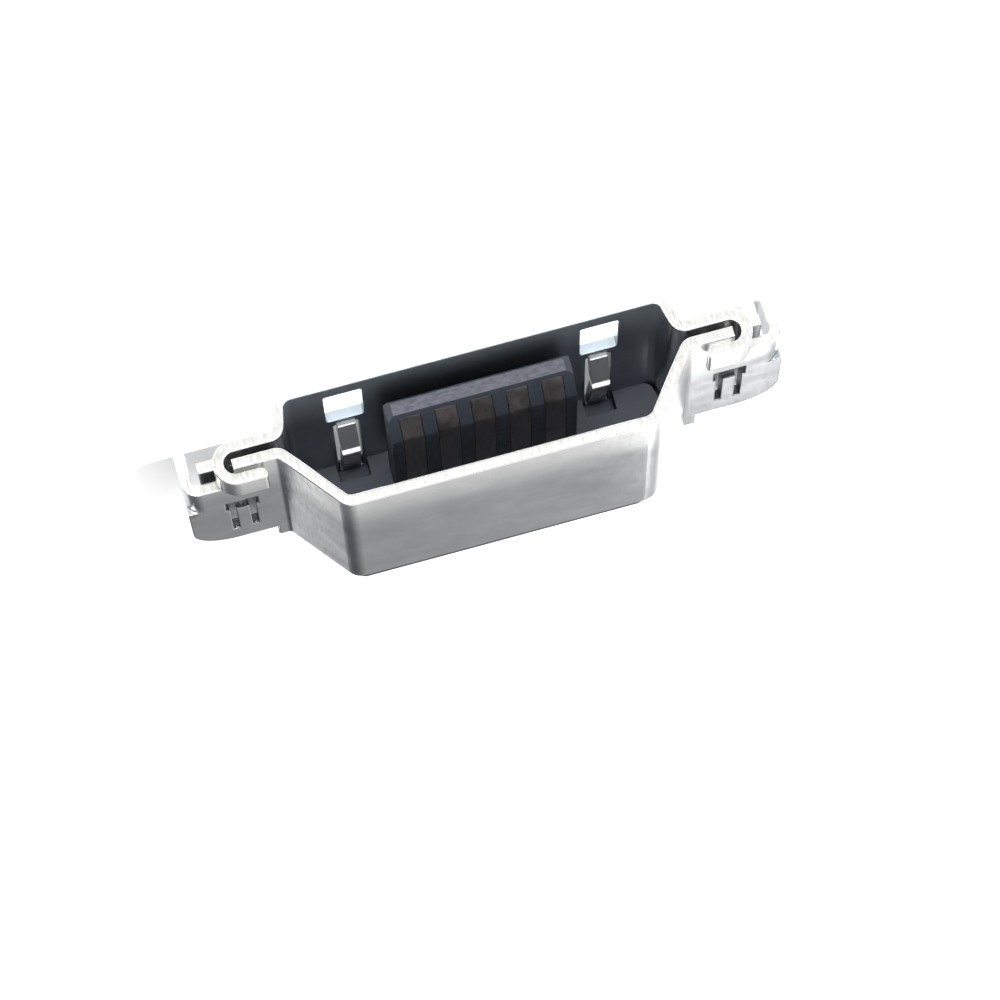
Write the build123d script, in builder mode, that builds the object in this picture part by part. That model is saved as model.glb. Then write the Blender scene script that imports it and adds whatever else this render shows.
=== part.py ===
"""Micro USB type B receptacle, sunk mount, five contacts.

The origin is the middle of the mouth, where the axis of a plug enters. The mouth faces -Y, X runs
across it, and +Z points from the wide wall to the narrow wall, so the socket stands on its wide wall.
The ears rest on a circuit board, the wide half of the socket hangs in a cut-out of the board, and the
solder legs go down through it. All lengths are in millimetres, and depths are counted from the mouth.
"""
import os

from build123d import *

# Sheet metal
sheet = 0.2
bend = 0.1
slot_radius = 0.05
rim_round = 0.03

# Mouth, measured between the inner faces of the shells. The cavity is widest at the seam, and the
# steps are taken on each side: in to the floor, out to the shoulder above the seam, in to the roof.
mouth_height = 1.96
side_width = 7.1
floor_step = 0.15
shoulder_step = 0.1
roof_step = 0.93
floor_radius = 0.15
roof_radius = 0.15
floor_depth = 5.5
roof_setback = 1.0

# Seam between the two shells. Reaches are counted outwards from the side of the cavity.
seam_height = 0.65
seam_gap = 0.12
hem_gap = 0.08
hem_reach = 1.13
hem_lip = 0.7
lip_inner_round = 0.13
lip_outer_round = 0.06
hem_end_gap = 0.135
hem_depth = 0.7
hem_flat = 0.01
stub_reach = 0.4
stub_depth = 0.5

# Ears and solder legs
board_ear_front = 0.75
ear_front = 1.0
ear_reach = 1.95
ear_straight = 0.4
board_ear_clearance = 0.15
leg_width = 1.0
leg_tip_rise = 0.02
leg_tip_length = 0.18
leg_tip_slope = 0.15
leg_tip_step = 0.12

# Lock tab in each ear: a slot across its free end, a slot along each side and a dimple below. The
# whole lies this far behind the middle of the ear.
lock_width = 0.24
lock_side_slot = 0.12
lock_front_slot = 0.45
lock_front_width = 0.6
lock_length = 1.16
lock_offset = 0.175
lock_dimple = 0.2

# Latch windows and spring fingers in the wide wall
latch_inset = 1.2
latch_width = 0.7
latch_front = 0.42
latch_length = 1.42
finger_width = 0.34
finger_slot = 0.07
finger_tip = 2.15
finger_setback = 0.7
finger_rise = 0.25
finger_peak = 1.0
finger_tip_rise = 0.05
finger_radii = [0.5, 0.3]

# Insulator
tongue_width = 3.4
tongue_height = 0.3
tongue_thickness = 0.6
tongue_front = 0.62
tongue_nose = 0.28
tongue_ramp = 0.6
tongue_chamfer = 0.04
tongue_corner = 0.12
block_cover = 0.1
block_recess = 0.2
block_clearance = 0.04
block_radius = 0.2
pocket_height = 0.35
pocket_margin = 0.05

# Contacts
contact_count = 5
contact_pitch = 0.65
contact_width = 0.38
contact_thickness = 0.12
contact_fit = 0.01
contact_start = 0.1
contact_bend = 0.08
tail_drop_start = 0.15
tail_drop_length = 0.2
tail_length = 0.8

# Widths that follow from the sizes above
floor_width = side_width - 2 * floor_step
shoulder_width = side_width + 2 * shoulder_step
roof_width = shoulder_width - 2 * roof_step
stub_width = side_width + 2 * stub_reach
hem_width = side_width + 2 * hem_reach
hem_lip_width = hem_width - 2 * hem_lip
hem_tongue_width = hem_width - 2 * hem_end_gap
ear_width = side_width + 2 * ear_reach
board_ear_end = ear_width / 2 - sheet - board_ear_clearance
ear_corner = board_ear_end - stub_width / 2 - ear_straight
lock_spacing = (side_width + ear_width) / 2
latch_spacing = side_width - 2 * latch_inset

# Depths that follow
roof_depth = floor_depth - roof_setback
ear_back = roof_depth - stub_depth
leg_back = ear_front + leg_width
ear_middle = (ear_front + ear_back) / 2
tab_front = ear_middle + lock_offset + (lock_front_slot - lock_length) / 2
finger_root = floor_depth - finger_setback
block_front = roof_depth - block_cover
block_back = floor_depth - block_recess
ramp_back = tongue_front + tongue_ramp
tail_drop_front = block_back + tail_drop_start
tail_end = floor_depth + tail_length

# Heights that follow
floor_top = -mouth_height / 2
floor_bottom = floor_top - sheet
roof_bottom = mouth_height / 2
seat_top = floor_top + seam_height
seat_bottom = seat_top - sheet
flange_bottom = seat_top + seam_gap
flange_top = flange_bottom + sheet
lip_bottom = flange_top + hem_gap
hem_inside = lip_bottom - seat_top
tongue_bottom = floor_top + tongue_height
tongue_top = tongue_bottom + tongue_thickness
nose_top = tongue_bottom + tongue_nose
tail_top = seat_bottom + contact_thickness
leg_tip = floor_bottom + leg_tip_rise
leg_neck = leg_tip + leg_tip_length
leg_shoulder = leg_neck + leg_tip_slope


def both_sides(half_path):
    """Mirror the right half of a path across x = 0, from its left end to its right end."""
    left_half = [(-x, z) for x, z in reversed(half_path)]
    return left_half + half_path


def lower_path(flange_end):
    """Cavity side of the lower shell, right half, from the floor to the end of a flat flange."""
    return [
        (floor_width / 2, floor_top),
        (side_width / 2, seat_top),
        (flange_end, seat_top),
    ]


def hem_path():
    """Cavity side of the lower shell, right half, with the flange curled back over itself."""
    return lower_path(hem_width / 2) + [
        (hem_width / 2, lip_bottom),
        (hem_lip_width / 2, lip_bottom),
    ]


def upper_path(flange_end):
    """Cavity side of the upper shell, right half, from the roof to the end of a flat flange."""
    return [
        (roof_width / 2, roof_bottom),
        (shoulder_width / 2, flange_bottom),
        (flange_end, flange_bottom),
    ]


def leg_path():
    """Cavity side of the upper shell, right half, with the ear bent down into the solder leg."""
    leg_inside = ear_width / 2 - sheet
    return upper_path(leg_inside) + [(leg_inside, leg_tip)]


def fold_outline(path, radii, thickness):
    """Draw the closed outline of a bent strip.

    path and radii give one of its faces, and the other lies to the left of it where thickness is
    positive, to the right where it is negative.
    """
    corners = [Vector(*point) for point in path]
    runs = [(end - start).normalized() for start, end in zip(corners, corners[1:])]
    normals = [Vector(-run.Y, run.X) for run in runs]
    other = [corners[0] + normals[0] * thickness]
    other_radii = []
    for corner, radius, before, after in zip(corners[1:], radii, normals, normals[1:]):
        other.append(corner + (before + after) * (thickness / (1 + before.dot(after))))
        turns_left = before.cross(after).Z > 0
        other_radii.append(radius - thickness if turns_left else radius + thickness)
    other.append(corners[-1] + normals[-1] * thickness)
    FilletPolyline(*corners, radius=radii)
    FilletPolyline(*other, radius=other_radii)
    Line(corners[0], other[0])
    Line(corners[-1], other[-1])


def folded_strip(half_path, half_radii, front, back, thickness):
    """Add one strip of folded sheet between two depths, mirrored about the middle."""
    radii = list(reversed(half_radii)) + list(half_radii)
    with BuildSketch(Plane.XZ.offset(-front)) as section:
        with BuildLine():
            fold_outline(both_sides(half_path), radii, thickness)
        make_face()
    extrude(section.sketch, amount=front - back)


# Bend radii on the cavity side: a bend away from the cavity adds the sheet to its inside radius
side_bend = bend + sheet
hem_radius = (hem_inside - hem_flat) / 2
lower_radii = [floor_radius, side_bend]
hem_radii = lower_radii + [hem_radius, hem_radius]
upper_radii = [roof_radius, side_bend]
leg_radii = upper_radii + [bend]

# Lower shell, with the wide wall
with BuildPart() as lower_shell:
    folded_strip(hem_path(), hem_radii, 0, hem_depth, -sheet)
    lip_edges = lower_shell.edges().filter_by(Axis.Y)
    lip_edges = lip_edges.filter_by_position(Axis.Z, lip_bottom, lip_bottom + sheet)
    lip_edges = lip_edges.filter_by_position(Axis.X, -hem_lip_width / 2, hem_lip_width / 2)
    lip_edges = lip_edges.group_by(Axis.Z)
    fillet(lip_edges[0], lip_inner_round)
    fillet(lip_edges[-1], lip_outer_round)
    folded_strip(lower_path(hem_tongue_width / 2), lower_radii, hem_depth, board_ear_front, -sheet)
    folded_strip(lower_path(board_ear_end), lower_radii, board_ear_front, ear_back, -sheet)
    folded_strip(lower_path(stub_width / 2), lower_radii, ear_back, floor_depth, -sheet)

    ear_edges = lower_shell.edges().filter_by(Axis.Z)
    ear_edges = ear_edges.filter_by_position(Axis.Y, ear_back, ear_back).group_by(Axis.X)
    fillet(ear_edges[0] + ear_edges[-1], ear_corner)

    # Latch windows near the mouth and pockets around the spring fingers
    with BuildSketch(Plane.XY.offset(floor_bottom)):
        with Locations((-latch_spacing / 2, 0), (latch_spacing / 2, 0)):
            with Locations((0, latch_front + latch_length / 2)):
                RectangleRounded(latch_width, latch_length, slot_radius)
            with Locations((0, (finger_tip - finger_slot + finger_root) / 2)):
                RectangleRounded(
                    finger_width + 2 * finger_slot,
                    finger_root - finger_tip + finger_slot,
                    slot_radius,
                )
    extrude(amount=sheet, mode=Mode.SUBTRACT)

    # Spring fingers, rooted at the back, rising into the cavity and dipping again at the tip
    finger_bottom = [
        (finger_root + sheet, floor_bottom),
        (finger_root, floor_bottom),
        (finger_tip + finger_peak, floor_bottom + finger_rise),
        (finger_tip, floor_bottom + finger_tip_rise),
    ]
    for side in (-1, 1):
        with BuildSketch(Plane.YZ.offset(side * latch_spacing / 2)):
            with BuildLine():
                fold_outline(finger_bottom, finger_radii, -sheet)
            make_face()
        extrude(amount=finger_width / 2, both=True)
    fillet(lower_shell.edges().group_by(Axis.Y)[0], rim_round)

# Upper shell, with the narrow wall
with BuildPart() as upper_shell:
    folded_strip(upper_path(ear_width / 2), upper_radii, leg_back, ear_back, sheet)
    folded_strip(leg_path(), leg_radii, ear_front, leg_back, sheet)
    folded_strip(upper_path(hem_tongue_width / 2), upper_radii, 0, ear_front, sheet)
    folded_strip(upper_path(stub_width / 2), upper_radii, ear_back, roof_depth, sheet)

    ear_edges = upper_shell.edges().filter_by(Axis.Z)
    ear_edges = ear_edges.filter_by_position(Axis.Y, ear_back, ear_back).group_by(Axis.X)
    fillet(ear_edges[0] + ear_edges[-1], ear_corner)

    # Narrower tips on the solder legs
    with BuildSketch(Plane.YZ):
        for edge, inwards in ((ear_front, leg_tip_step), (leg_back, -leg_tip_step)):
            with BuildLine():
                Polyline(
                    (edge, leg_tip),
                    (edge + inwards, leg_tip),
                    (edge + inwards, leg_neck),
                    (edge, leg_shoulder),
                    close=True,
                )
            make_face()
    extrude(amount=ear_width / 2, both=True, mode=Mode.SUBTRACT)

    # Slots that free the lock tabs, and the dimples by which the tabs bear on the lower shell
    with BuildSketch(Plane.XY.offset(flange_bottom)):
        with Locations((-lock_spacing / 2, 0), (lock_spacing / 2, 0)):
            with Locations((0, tab_front - lock_front_slot / 2)):
                Rectangle(lock_front_width, lock_front_slot)
            with Locations((0, tab_front + lock_length / 2)):
                with GridLocations(lock_width + lock_side_slot, 0, 2, 1):
                    Rectangle(lock_side_slot, lock_length)
    extrude(amount=sheet, mode=Mode.SUBTRACT)
    with BuildSketch(Plane.XY.offset(seat_top)):
        with Locations((-lock_spacing / 2, 0), (lock_spacing / 2, 0)):
            with Locations((0, tab_front + lock_width / 2)):
                Circle(lock_dimple / 2)
    extrude(amount=seam_gap)
    fillet(upper_shell.edges().group_by(Axis.Y)[0], rim_round)

# Insulator: the tongue first, then the block that closes the back of the shells
slant = (shoulder_width - roof_width) / 2 / (roof_bottom - flange_bottom)
block_half_width = side_width / 2 - block_clearance
block_shoulder = flange_bottom + (shoulder_width / 2 - block_clearance - block_half_width) / slant
block_outline = [
    (floor_width / 2 - block_clearance, floor_top),
    (block_half_width, seat_top),
    (block_half_width, block_shoulder),
    (roof_width / 2 - block_clearance, roof_bottom),
]
contact_outer_bend = contact_bend + contact_thickness
with BuildPart() as insulator:
    with BuildSketch(Plane.YZ):
        with BuildLine():
            FilletPolyline(
                (block_front, tongue_top),
                (ramp_back, tongue_top),
                (tongue_front, nose_top),
                (tongue_front, tongue_bottom + tongue_chamfer),
                (tongue_front + tongue_chamfer, tongue_bottom),
                (block_front, tongue_bottom),
                radius=[contact_outer_bend, 0, 0, 0],
            )
            Line((block_front, tongue_bottom), (block_front, tongue_top))
        make_face()
    extrude(amount=tongue_width / 2, both=True)
    with BuildSketch(Plane.XY.offset(tongue_bottom)) as tongue_plan:
        with Locations((0, (tongue_front + block_front) / 2)):
            Rectangle(tongue_width, block_front - tongue_front)
        chamfer(tongue_plan.vertices().group_by(Axis.Y)[0], tongue_corner)
    extrude(amount=tongue_thickness, mode=Mode.INTERSECT)
    with BuildSketch(Plane.XZ.offset(-block_front)):
        with BuildLine():
            FilletPolyline(*both_sides(block_outline), radius=block_radius, close=True)
        make_face()
    extrude(amount=block_front - block_back)

    # Pockets that leave the roots of the spring fingers free
    with BuildSketch(Plane.XY.offset(floor_top)):
        with Locations((-latch_spacing / 2, 0), (latch_spacing / 2, 0)):
            with Locations((0, (block_front + finger_root) / 2)):
                Rectangle(
                    finger_width + 2 * (finger_slot + pocket_margin),
                    finger_root - block_front + 2 * pocket_margin,
                )
    extrude(amount=pocket_height, mode=Mode.SUBTRACT)

# Contacts: flush with the tongue, through the block and down to the board
ramp_slope = (tongue_top - nose_top) / tongue_ramp
contact_top = [
    (tongue_front + contact_start, nose_top + contact_start * ramp_slope),
    (ramp_back, tongue_top),
    (tail_drop_front, tongue_top),
    (tail_drop_front + tail_drop_length, tail_top),
    (tail_end, tail_top),
]
contact_radii = [contact_outer_bend, contact_outer_bend, contact_bend]


def contact_bar(x, width):
    """Add one bent contact strip centred at x."""
    with BuildSketch(Plane.YZ.offset(x)) as side_view:
        with BuildLine():
            fold_outline(contact_top, contact_radii, -contact_thickness)
        make_face()
    extrude(side_view.sketch, amount=width / 2, both=True)


contacts = []
for index in range(contact_count):
    x = (index - (contact_count - 1) / 2) * contact_pitch
    with BuildPart() as contact:
        contact_bar(x, contact_width)
    contact.part.label = f"contact_{index + 1}"
    contacts.append(contact.part)
    with BuildPart(mode=Mode.PRIVATE) as channel:
        contact_bar(x, contact_width + 2 * contact_fit)
    with insulator:
        add(channel.part, mode=Mode.SUBTRACT)

lower_shell.part.label = "lower_shell"
upper_shell.part.label = "upper_shell"
insulator.part.label = "insulator"

os.makedirs("parts", exist_ok=True)
for piece in [lower_shell.part, upper_shell.part, insulator.part] + contacts:
    export_step(piece, f"parts/{piece.label}.step")
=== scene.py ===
import math

import bpy
from mathutils import Matrix, Vector


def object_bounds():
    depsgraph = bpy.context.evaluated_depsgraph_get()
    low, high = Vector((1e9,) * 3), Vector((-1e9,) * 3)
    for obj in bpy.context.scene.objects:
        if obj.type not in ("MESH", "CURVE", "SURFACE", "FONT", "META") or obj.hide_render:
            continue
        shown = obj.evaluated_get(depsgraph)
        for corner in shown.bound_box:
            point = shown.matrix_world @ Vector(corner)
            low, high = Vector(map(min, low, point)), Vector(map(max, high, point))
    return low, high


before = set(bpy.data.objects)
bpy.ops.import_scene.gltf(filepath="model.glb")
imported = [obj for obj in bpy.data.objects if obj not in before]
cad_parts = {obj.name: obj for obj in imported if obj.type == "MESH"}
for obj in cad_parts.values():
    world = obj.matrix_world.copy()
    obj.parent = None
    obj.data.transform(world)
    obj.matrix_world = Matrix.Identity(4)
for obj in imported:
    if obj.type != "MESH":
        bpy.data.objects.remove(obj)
cad_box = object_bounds()

MM = 0.001

# Camera. The photograph does not settle its tilt and distance, which were chosen within what a fit
# allows. Side, roll and the mouth's pixel were fitted. Pixels count from the top left of a picture of
# 1000 x 1000.
CAMERA_DISTANCE = 77.6 * MM
CAMERA_ELEVATION = math.radians(17.5)
CAMERA_SIDE = 0.075
CAMERA_ROLL = 2.8586
FOCAL_PIXELS = 4447.0
MOUTH_PIXEL = (485.5, 403.0)
PICTURE_SIZE = 1000.0

# Floor: sideways places between which it falls off to pale grey, emission of its white part, and
# emission of the strip that passes under the windows and of the round patch behind one ear
FLOOR_SIZE = 600 * MM
SHADE_START = 9.5 * MM
SHADE_END = 26 * MM
SHADE_COLOUR = (0.5, 0.5, 0.51, 1.0)
FLOOR_EMISSION = 0.25
GLOW_EMISSION = 2.2
STRIP_FRONT = -1.0 * MM
STRIP_BACK = 2.1 * MM
GLOW_PLACE = (-7 * MM, 12 * MM, -1.18 * MM)
GLOW_RADIUS = 9 * MM

# Surroundings: the direction of their bright side, and the cosines to it between which they turn
# from grey to white
BRIGHT_SIDE = (-0.8, -0.5, 0.3)
GREY_UP_TO = -0.62
WHITE_FROM = -0.1
SURROUND_GREY = (0.15, 0.155, 0.17, 1.0)
WHITE = (1.0, 1.0, 1.0, 1.0)

# Depths from the mouth between which painted shade darkens the plating from bright to dark, standing in
# for light that falls off into the mouth. The first lies in front of the mouth, so the plating is
# already a little shaded there.
UNSHADED_DEPTH = -0.3 * MM
SHADED_DEPTH = 1.9 * MM

# The sheared rims, whose faces look out of the mouth, lie in front of this depth
RIM_DEPTH = 1.1 * MM

# Below this height lies the wide wall, which is rougher and bluer than the rest of the plating
WIDE_WALL_TOP = -0.88 * MM

# Spring fingers: distance of each from the middle, half width, front end, a height above them that
# leaves the narrow wall out, and the depths between which the crest leans toward the mouth
FINGER_MIDDLE = 2.35 * MM
FINGER_HALF_WIDTH = 0.17 * MM
FINGER_FRONT = 2.1 * MM
ABOVE_FINGERS = -0.6 * MM
CREST_FRONT = 2.95 * MM
CREST_BACK = 3.2 * MM

# Insulator: the painted light on the front face of the tongue's nose ends here, and the face of the
# block, painted lighter too, lies behind here
NOSE_BACK = 0.7 * MM
BLOCK_FRONT = 4.2 * MM

# The contacts are tinned from here back, for soldering
TAIL_START = 5.3 * MM

# Small reddish stain on one ear
STAIN_PLACE = (5.42 * MM, 2.1 * MM, 0.02 * MM)
STAIN_RADIUS = 0.16 * MM
STAIN_COLOUR = (0.62, 0.33, 0.30, 1.0)


def link(tree, source, target):
    tree.links.new(source, target)


def node(tree, kind, **values):
    """Add a shader node and set its inputs and properties by name."""
    made = tree.nodes.new(kind)
    for name, value in values.items():
        if hasattr(made, name):
            setattr(made, name, value)
        else:
            made.inputs[name].default_value = value
    return made


def new_material(name):
    """A material with nodes, its tree and its Principled shader."""
    material = bpy.data.materials.new(name)
    material.use_nodes = True
    tree = material.node_tree
    return material, tree, tree.nodes["Principled BSDF"]


def noise(tree, scale, detail=3.0, stretch=(1.0, 1.0, 1.0)):
    """Noise over the piece, scale in cells per millimetre, stretched along the axes."""
    place = node(tree, "ShaderNodeTexCoord")
    mapping = node(tree, "ShaderNodeMapping")
    per_metre = scale / MM
    mapping.inputs["Scale"].default_value = [per_metre * s for s in stretch]
    made = node(tree, "ShaderNodeTexNoise", Scale=1.0, Detail=detail, Roughness=0.55)
    link(tree, place.outputs["Object"], mapping.inputs["Vector"])
    link(tree, mapping.outputs["Vector"], made.inputs["Vector"])
    return made.outputs["Fac"]


def ramp(tree, value, stops):
    """Map a value through (position, colour or grey) stops."""
    made = node(tree, "ShaderNodeValToRGB")
    elements = made.color_ramp.elements
    while len(elements) < len(stops):
        elements.new(0.5)
    for element, (position, colour) in zip(elements, stops):
        element.position = position
        element.color = colour if isinstance(colour, tuple) else (colour, colour, colour, 1.0)
    link(tree, value, made.inputs["Fac"])
    return made.outputs["Color"]


def mix(tree, factor, first, second, blend="MIX"):
    """Mix two colours, each a socket or a colour, by a factor that is a socket or a number.

    The node has inputs of the same names for other kinds of value, so they are taken by number: 0 is
    the factor, 6 and 7 are the colours, and output 2 is the mixed colour.
    """
    made = node(tree, "ShaderNodeMix", data_type="RGBA", blend_type=blend)
    for index, value in ((0, factor), (6, first), (7, second)):
        if isinstance(value, bpy.types.NodeSocket):
            link(tree, value, made.inputs[index])
        else:
            made.inputs[index].default_value = value
    return made.outputs[2]


def between(tree, value, low, high):
    """0 where the value is at low, 1 where it is at high, smooth in between."""
    made = node(tree, "ShaderNodeMapRange", interpolation_type="SMOOTHSTEP")
    made.inputs["From Min"].default_value = low
    made.inputs["From Max"].default_value = high
    link(tree, value, made.inputs["Value"])
    return made.outputs["Result"]


def calc(tree, operation, first, second=0.0):
    """Math on two values, each a socket or a number."""
    made = node(tree, "ShaderNodeMath", operation=operation)
    for index, value in enumerate((first, second)):
        if isinstance(value, bpy.types.NodeSocket):
            link(tree, value, made.inputs[index])
        else:
            made.inputs[index].default_value = value
    return made.outputs["Value"]


def part_of(tree, output, axis):
    """One axis of a texture coordinate: Object is a place in metres, Normal a direction."""
    place = node(tree, "ShaderNodeTexCoord")
    split = node(tree, "ShaderNodeSeparateXYZ")
    link(tree, place.outputs[output], split.inputs["Vector"])
    return split.outputs[axis]


def near(tree, centre, radius):
    """1 at a place on the piece, 0 beyond a radius."""
    place = node(tree, "ShaderNodeTexCoord")
    away = node(tree, "ShaderNodeVectorMath", operation="DISTANCE")
    away.inputs[1].default_value = centre
    link(tree, place.outputs["Object"], away.inputs[0])
    return between(tree, away.outputs["Value"], radius, 0.0)


def on_fingers(tree):
    """1 on the spring fingers from their front ends to their crests, 0 elsewhere."""
    sideways = calc(tree, "ABSOLUTE", part_of(tree, "Object", "X"))
    away = calc(tree, "ABSOLUTE", calc(tree, "SUBTRACT", sideways, FINGER_MIDDLE))
    across = between(tree, away, FINGER_HALF_WIDTH + 0.02 * MM, FINGER_HALF_WIDTH)
    depth = part_of(tree, "Object", "Y")
    behind = between(tree, depth, FINGER_FRONT - 0.05 * MM, FINGER_FRONT)
    ahead = between(tree, depth, CREST_BACK + 0.1 * MM, CREST_BACK)
    low = between(tree, part_of(tree, "Object", "Z"), ABOVE_FINGERS + 0.1 * MM, ABOVE_FINGERS)
    along = calc(tree, "MULTIPLY", behind, ahead)
    return calc(tree, "MULTIPLY", calc(tree, "MULTIPLY", across, low), along)


def bump(tree, height, strength, depth, base):
    """Bump of the given depth in millimetres, on top of a base normal."""
    made = node(tree, "ShaderNodeBump", Strength=strength, Distance=depth * MM)
    link(tree, height, made.inputs["Height"])
    link(tree, base, made.inputs["Normal"])
    return made.outputs["Normal"]


def rounded_edges(tree, radius):
    """Normal with edges that look rounded, radius in millimetres."""
    made = node(tree, "ShaderNodeBevel", samples=8, Radius=radius * MM)
    return made.outputs["Normal"]


def shell_material():
    """Tin plating over rolled steel.

    Its colour is painted shade that darkens from the mouth backwards: bright near the mouth, dark
    behind. The sheared rims are grey satin metal with short shear marks. The spring fingers are worn
    rougher by the plug and are painted back to the bright colour, painted light inside that shade.
    Their crests lean toward the mouth in the shading.
    """
    material, tree, shader = new_material("shell_plating")
    clouds = noise(tree, 1.3, detail=5.0)
    waves = noise(tree, 1.1, detail=1.0)
    grain = noise(tree, 16.0, detail=2.0, stretch=(1.0, 0.1, 1.0))
    specks = noise(tree, 30.0, detail=2.0)
    shear = noise(tree, 20.0, detail=2.0, stretch=(1.0, 1.0, 0.25))
    facing = between(tree, part_of(tree, "Normal", "Y"), -0.75, -0.95)
    forward = between(tree, part_of(tree, "Object", "Y"), RIM_DEPTH + 0.1 * MM, RIM_DEPTH)
    rim = calc(tree, "MULTIPLY", facing, forward)
    depth = between(tree, part_of(tree, "Object", "Y"), UNSHADED_DEPTH, SHADED_DEPTH)

    # Painted shade: the dull colour is what the plating is painted deeper in the mouth, where light
    # falls off.
    bright = ramp(tree, clouds, [(0.3, (0.91, 0.91, 0.89, 1.0)), (0.7, (0.98, 0.98, 0.96, 1.0))])
    dull = ramp(tree, clouds, [(0.3, (0.30, 0.31, 0.32, 1.0)), (0.7, (0.39, 0.40, 0.41, 1.0))])
    colour = mix(tree, depth, bright, dull)
    tarnish = ramp(tree, specks, [(0.24, (0.62, 0.60, 0.58, 1.0)), (0.34, WHITE)])
    tarnish_amount = 0.6
    colour = mix(tree, tarnish_amount, colour, tarnish, "MULTIPLY")
    edge = ramp(tree, shear, [(0.3, (0.49, 0.49, 0.47, 1.0)), (0.65, (0.57, 0.57, 0.55, 1.0))])
    colour = mix(tree, rim, colour, edge)
    height = part_of(tree, "Object", "Z")
    wide_wall = between(tree, height, WIDE_WALL_TOP, WIDE_WALL_TOP - 0.05 * MM)
    colour = mix(tree, wide_wall, colour, (0.84, 0.93, 1.0, 1.0), "MULTIPLY")
    # Painted light: the spring fingers are painted back to the bright plating colour inside the painted
    # shade, and they are also worn rougher by the plug.
    rubbed_and_lit = on_fingers(tree)
    colour = mix(tree, rubbed_and_lit, colour, (0.95, 0.95, 0.95, 1.0))
    stain = near(tree, STAIN_PLACE, STAIN_RADIUS)
    colour = mix(tree, stain, colour, STAIN_COLOUR, "MULTIPLY")
    link(tree, colour, shader.inputs["Base Color"])
    shader.inputs["Metallic"].default_value = 1.0

    sheet_rough = mix(
        tree,
        0.5,
        ramp(tree, clouds, [(0.3, 0.17), (0.7, 0.23)]),
        ramp(tree, grain, [(0.3, 0.15), (0.7, 0.27)]),
    )
    sheet_rough = mix(tree, wide_wall, sheet_rough, (0.36, 0.36, 0.36, 1.0))
    edge_rough = ramp(tree, shear, [(0.3, 0.24), (0.7, 0.36)])
    rough = mix(tree, rim, sheet_rough, edge_rough)
    link(tree, mix(tree, rubbed_and_lit, rough, (0.55, 0.55, 0.55, 1.0)), shader.inputs["Roughness"])
    edges = rounded_edges(tree, 0.04)
    fine = bump(tree, grain, 0.2, 0.003, edges)
    wavy = bump(tree, waves, 0.5, 0.02, fine)
    crest = between(tree, part_of(tree, "Object", "Y"), CREST_FRONT, CREST_BACK)
    rise = calc(tree, "MULTIPLY", crest, rubbed_and_lit)
    link(tree, bump(tree, rise, 1.0, 0.5, wavy), shader.inputs["Normal"])
    return material


def insulator_material():
    """Dark glass-filled plastic, satin, with flow marks.

    The front face of the tongue's nose is painted lighter grey with fibre streaks, and the face of the
    block inside the mouth is painted greyer, both as painted light from the front.
    """
    material, tree, shader = new_material("insulator_plastic")
    flow = noise(tree, 1.6, detail=3.0, stretch=(1.0, 0.5, 1.0))
    fibre = noise(tree, 18.0, detail=3.0, stretch=(0.4, 1.0, 1.0))
    facing = between(tree, part_of(tree, "Normal", "Y"), -0.6, -0.9)
    depth = part_of(tree, "Object", "Y")
    # Painted light: faces of the tongue's nose and of the block that look out of the mouth are painted
    # lighter, as if lit from the front.
    on_lit_nose = calc(tree, "MULTIPLY", facing, between(tree, depth, NOSE_BACK + 0.3 * MM, NOSE_BACK))
    on_lit_block_face = calc(tree, "MULTIPLY", facing, between(tree, depth, BLOCK_FRONT - 1.0 * MM, BLOCK_FRONT))
    plain = ramp(tree, flow, [(0.3, (0.022, 0.028, 0.040, 1.0)), (0.7, (0.031, 0.038, 0.052, 1.0))])
    lit_nose_colour = ramp(tree, fibre, [(0.3, (0.035, 0.037, 0.052, 1.0)), (0.7, (0.10, 0.103, 0.132, 1.0))])
    plain = mix(tree, on_lit_block_face, plain, (0.075, 0.085, 0.11, 1.0))
    link(tree, mix(tree, on_lit_nose, plain, lit_nose_colour), shader.inputs["Base Color"])
    link(tree, ramp(tree, fibre, [(0.3, 0.45), (0.7, 0.6)]), shader.inputs["Roughness"])
    edges = rounded_edges(tree, 0.02)
    link(tree, bump(tree, fibre, 0.25, 0.004, edges), shader.inputs["Normal"])
    return material


def contact_material():
    """Thin gold over nickel, gone brown and dull, with wipe marks along. The tails are tinned."""
    material, tree, shader = new_material("contact_plating")
    streaks = noise(tree, 16.0, detail=2.0, stretch=(1.0, 0.1, 1.0))
    stains = noise(tree, 3.0, detail=3.0)
    colour = mix(
        tree,
        0.5,
        ramp(tree, streaks, [(0.3, (0.15, 0.14, 0.145, 1.0)), (0.7, (0.25, 0.225, 0.215, 1.0))]),
        ramp(tree, stains, [(0.35, (0.14, 0.13, 0.135, 1.0)), (0.65, (0.23, 0.205, 0.20, 1.0))]),
    )
    tinned = ramp(tree, stains, [(0.35, (0.56, 0.55, 0.53, 1.0)), (0.65, (0.70, 0.69, 0.67, 1.0))])
    tail = between(tree, part_of(tree, "Object", "Y"), TAIL_START - 0.1 * MM, TAIL_START)
    link(tree, mix(tree, tail, colour, tinned), shader.inputs["Base Color"])
    shader.inputs["Metallic"].default_value = 1.0
    link(tree, ramp(tree, stains, [(0.3, 0.42), (0.7, 0.6)]), shader.inputs["Roughness"])
    edges = rounded_edges(tree, 0.015)
    link(tree, bump(tree, streaks, 0.2, 0.002, edges), shader.inputs["Normal"])
    return material


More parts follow.
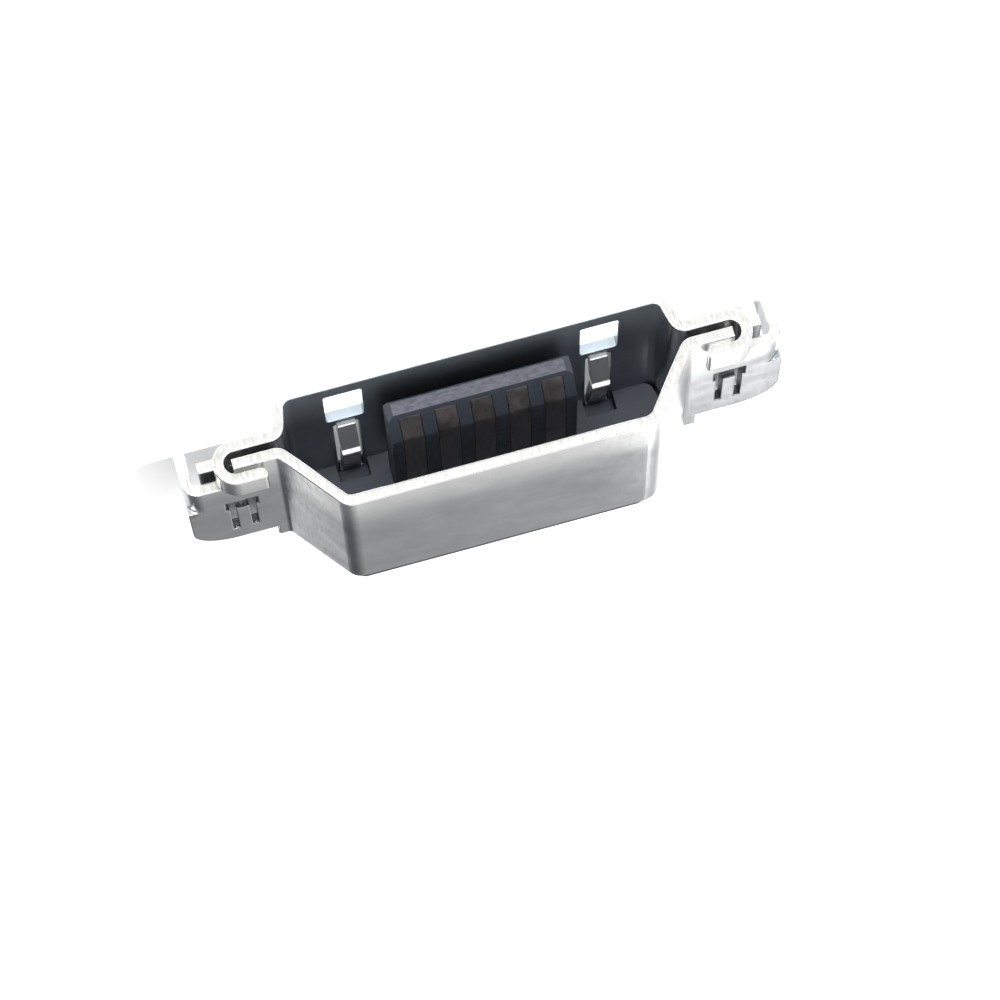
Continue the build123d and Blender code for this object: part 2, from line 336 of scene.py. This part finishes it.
def floor_material():
    """White paper on a light table.

    It glows most in a strip that passes under the windows of the wide wall and in a round patch behind
    the ear on the key light's side. On the other side it falls off to pale grey.
    """
    material, tree, shader = new_material("floor_paper")
    shade = between(tree, part_of(tree, "Object", "X"), SHADE_START, SHADE_END)
    pulp = ramp(tree, noise(tree, 0.05, detail=2.0), [(0.3, 0.9), (0.7, 0.93)])
    link(tree, mix(tree, shade, pulp, SHADE_COLOUR), shader.inputs["Base Color"])
    shader.inputs["Roughness"].default_value = 0.8
    shader.inputs["Emission Color"].default_value = WHITE

    depth = part_of(tree, "Object", "Y")
    strip_front = between(tree, depth, STRIP_FRONT, STRIP_FRONT + 1.0 * MM)
    strip_back = between(tree, depth, STRIP_BACK, STRIP_BACK - 0.2 * MM)
    strip = calc(tree, "MULTIPLY", strip_front, strip_back)
    patch = near(tree, GLOW_PLACE, GLOW_RADIUS)
    glow = calc(tree, "MULTIPLY", calc(tree, "MAXIMUM", strip, patch), GLOW_EMISSION)
    lit = calc(tree, "SUBTRACT", 1.0, shade)
    link(
        tree,
        calc(tree, "MAXIMUM", glow, calc(tree, "MULTIPLY", lit, FLOOR_EMISSION)),
        shader.inputs["Emission Strength"],
    )
    return material


def dress(material, *names):
    """Put one material on every slot of the named CAD nodes."""
    for name in names:
        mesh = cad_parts[name].data
        if not mesh.materials:
            mesh.materials.append(material)
        for index in range(len(mesh.materials)):
            mesh.materials[index] = material


def add_camera():
    """Camera at the chosen place, turned so that the mouth's centre lands on its pixel."""
    level = math.cos(CAMERA_ELEVATION)
    away = Vector((
        level * math.sin(CAMERA_SIDE),
        -level * math.cos(CAMERA_SIDE),
        math.sin(CAMERA_ELEVATION),
    ))
    forward = -away
    right = forward.cross(Vector((0, 0, 1))).normalized()
    up = right.cross(forward)
    cos_roll, sin_roll = math.cos(CAMERA_ROLL), math.sin(CAMERA_ROLL)
    rolled_right = cos_roll * right + sin_roll * up
    rolled_up = -sin_roll * right + cos_roll * up
    looking = Matrix((rolled_right, rolled_up, away)).transposed()
    sideways = (MOUTH_PIXEL[0] - PICTURE_SIZE / 2) / FOCAL_PIXELS
    upwards = -(MOUTH_PIXEL[1] - PICTURE_SIZE / 2) / FOCAL_PIXELS
    aim = Vector((sideways, upwards, -1.0)).rotation_difference(Vector((0, 0, -1)))
    data = bpy.data.cameras.new("camera")
    data.sensor_width = 36.0
    data.lens = FOCAL_PIXELS / PICTURE_SIZE * data.sensor_width
    data.clip_start = 1 * MM
    data.clip_end = 10.0
    camera = bpy.data.objects.new("camera", data)
    rotation = (looking @ aim.to_matrix()).to_4x4()
    camera.matrix_world = Matrix.Translation(away * CAMERA_DISTANCE) @ rotation
    bpy.context.collection.objects.link(camera)
    bpy.context.scene.camera = camera


def add_floor():
    """Flat floor at the foot of the part."""
    half = FLOOR_SIZE / 2
    height = cad_box[0][2]
    mesh = bpy.data.meshes.new("floor")
    corners = [(x * half, y * half, height) for x, y in ((-1, -1), (1, -1), (1, 1), (-1, 1))]
    mesh.from_pydata(corners, [], [(0, 1, 2, 3)])
    mesh.materials.append(floor_material())
    floor = bpy.data.objects.new("floor", mesh)
    bpy.context.collection.objects.link(floor)


def add_light(name, place, target, width, height, power):
    """Rectangular area light: place, target and size in millimetres, power in watts."""
    data = bpy.data.lights.new(name, "AREA")
    data.shape = "RECTANGLE"
    data.size = width * MM
    data.size_y = height * MM
    data.energy = power
    light = bpy.data.objects.new(name, data)
    direction = Vector(target) - Vector(place)
    turn = direction.to_track_quat("-Z", "Y").to_matrix().to_4x4()
    light.matrix_world = Matrix.Translation(Vector(place) * MM) @ turn
    bpy.context.collection.objects.link(light)


def add_world():
    """Soft studio surround.

    It is white above, behind the camera and on the key light's side, and grey behind the socket and on
    the other side.
    """
    world = bpy.data.worlds.new("studio")
    world.use_nodes = True
    tree = world.node_tree
    background = tree.nodes["Background"]
    place = node(tree, "ShaderNodeTexCoord")
    toward = node(tree, "ShaderNodeVectorMath", operation="DOT_PRODUCT")
    toward.inputs[1].default_value = Vector(BRIGHT_SIDE).normalized()
    link(tree, place.outputs["Generated"], toward.inputs[0])
    side = between(tree, toward.outputs["Value"], GREY_UP_TO, WHITE_FROM)
    colour = mix(tree, side, SURROUND_GREY, WHITE)
    link(tree, colour, background.inputs["Color"])
    background.inputs["Strength"].default_value = 1.0
    bpy.context.scene.world = world


shell = shell_material()
plastic = insulator_material()
gold = contact_material()
dress(shell, "lower_shell", "upper_shell")
dress(plastic, "insulator")
dress(gold, "contact_1", "contact_2", "contact_3", "contact_4", "contact_5")

add_camera()
add_floor()
add_world()
add_light("key", place=(-60, -30, 60), target=(0, 2, 0), width=60, height=60, power=0.03)
add_light("front", place=(5, -70, 5), target=(0, 0, 0), width=60, height=8, power=0.031)
add_light("edge", place=(-10.5, 24, 12.2), target=(-2, 2, 0), width=11, height=8, power=0.0009)
bpy.context.scene.view_settings.view_transform = "Standard"
